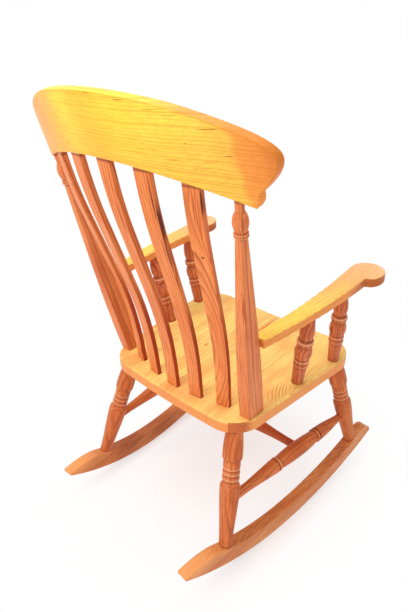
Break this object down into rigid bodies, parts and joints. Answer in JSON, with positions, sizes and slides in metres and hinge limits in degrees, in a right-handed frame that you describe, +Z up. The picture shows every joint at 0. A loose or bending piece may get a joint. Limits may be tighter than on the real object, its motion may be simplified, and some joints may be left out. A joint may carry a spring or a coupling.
{
  "type": "rocking chair",
  "caption": "Wooden rocking chair with a curved crest rail, bent back slats, scrolled arms, turned legs and spindles, on curved rockers.",
  "frame": {"origin": "on the floor, midway between the rocker tips and between the two rockers, with the chair at rest", "axes": "+Z up, -Y the way the sitter faces, +X to the sitter's left"},
  "size_m": [0.6552, 0.7328, 1.0866],
  "materials": {
    "crest_wood": "satin varnish",
    "post_wood": "satin varnish",
    "slat_wood": "satin varnish",
    "seat_wood": "satin varnish",
    "arm_wood": "satin varnish",
    "spindle_wood": "satin varnish",
    "leg_wood": "satin varnish",
    "stretcher_wood": "satin varnish",
    "rocker_wood": "satin varnish",
    "dowel_wood": "bare"
  },
  "bodies": {
    "root": {"crest_rail": "crest_wood", "back_post_left": "post_wood", "back_post_right": "post_wood", "back_slat_1": "slat_wood", "back_slat_2": "slat_wood", "back_slat_3": "slat_wood", "back_slat_4": "slat_wood", "back_slat_5": "slat_wood", "seat_board_1": "seat_wood", "seat_board_2": "seat_wood", "seat_board_3": "seat_wood", "seat_board_4": "seat_wood", "seat_dowels": "dowel_wood", "arm_left": "arm_wood", "arm_right": "arm_wood", "arm_dowel_left": "dowel_wood", "arm_dowel_right": "dowel_wood", "arm_spindle_front_left": "spindle_wood", "arm_spindle_front_right": "spindle_wood", "arm_spindle_rear_left": "spindle_wood", "arm_spindle_rear_right": "spindle_wood", "leg_front_left": "leg_wood", "leg_front_right": "leg_wood", "leg_rear_left": "leg_wood", "leg_rear_right": "leg_wood", "side_stretcher_left": "stretcher_wood", "side_stretcher_right": "stretcher_wood", "cross_stretcher": "stretcher_wood", "rocker_left": "rocker_wood", "rocker_right": "rocker_wood"}
  },
  "joints": []
}
